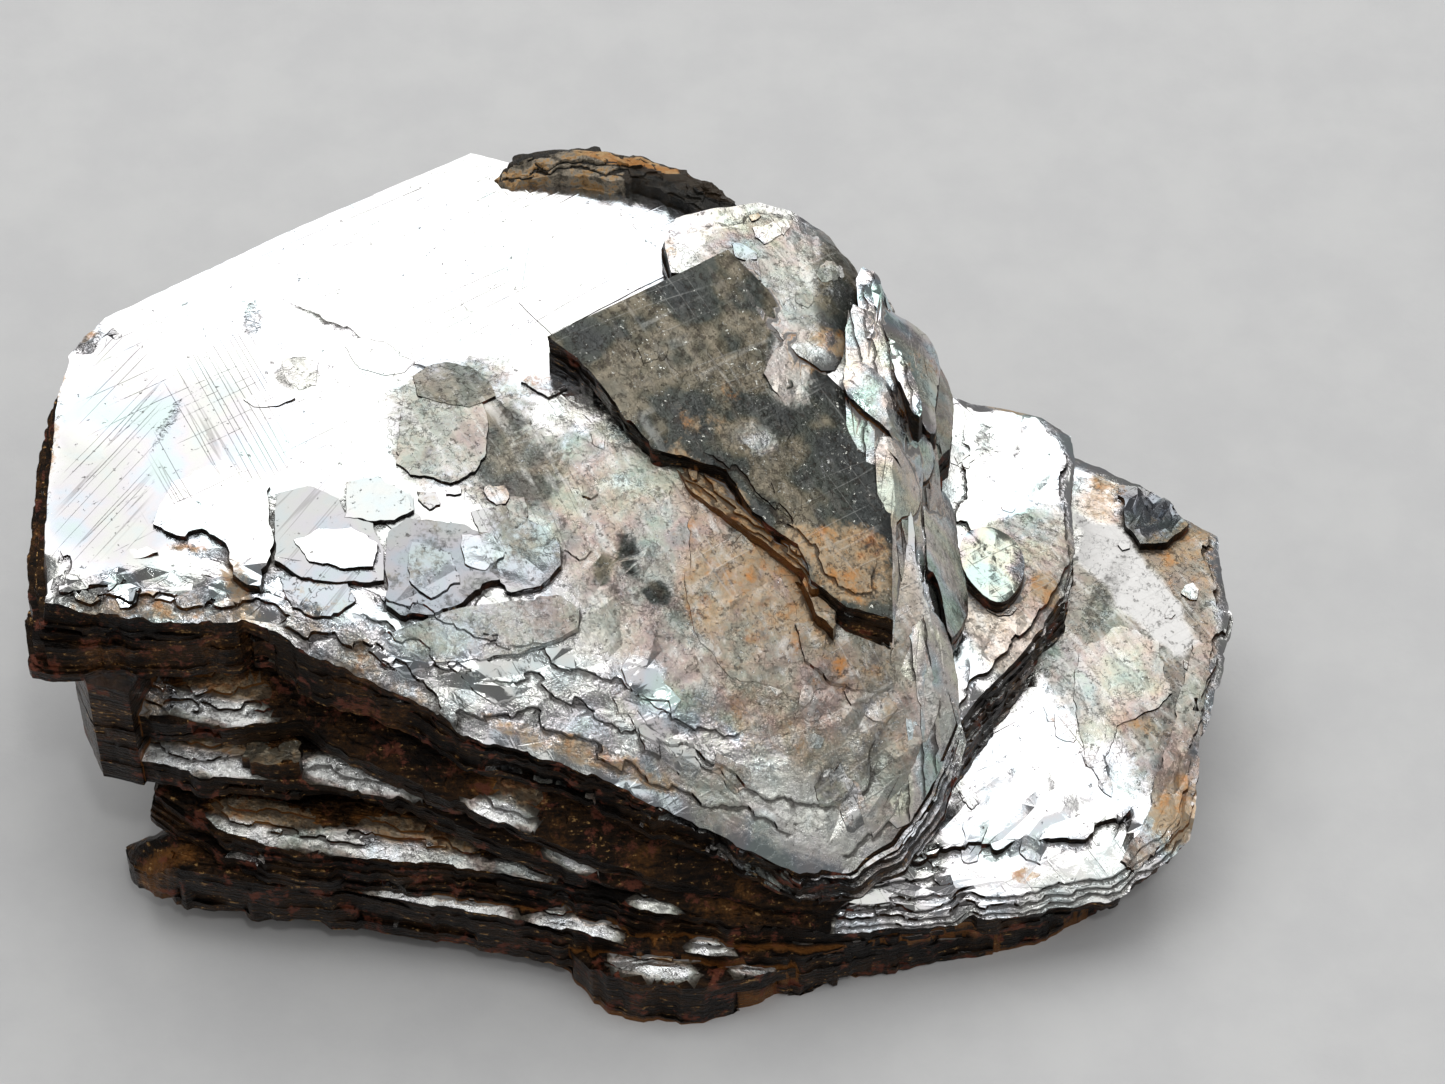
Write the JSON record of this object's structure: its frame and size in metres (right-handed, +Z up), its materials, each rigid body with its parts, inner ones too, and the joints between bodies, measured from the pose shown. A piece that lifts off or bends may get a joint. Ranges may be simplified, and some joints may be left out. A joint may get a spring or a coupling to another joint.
{
  "type": "hematite rose specimen",
  "caption": "Mineral specimen: an intergrown rosette of thick tabular hematite crystals, fanned apart at one end and stepping down in steep petals to broad low plates.",
  "frame": {"origin": "middle of the specimen's plan, on the surface that it rests on", "axes": "+Z up, +X along the length away from the fanned end, +Y towards the straight back edge of the main crystal"},
  "size_m": [0.0646, 0.0422, 0.0273],
  "materials": {
    "hematite": "bright metallic steel-grey crystal faces, with dark brown layered edges and patches of rust-brown crust"
  },
  "bodies": {
    "root": {"hematite_rose": "hematite"}
  },
  "joints": []
}
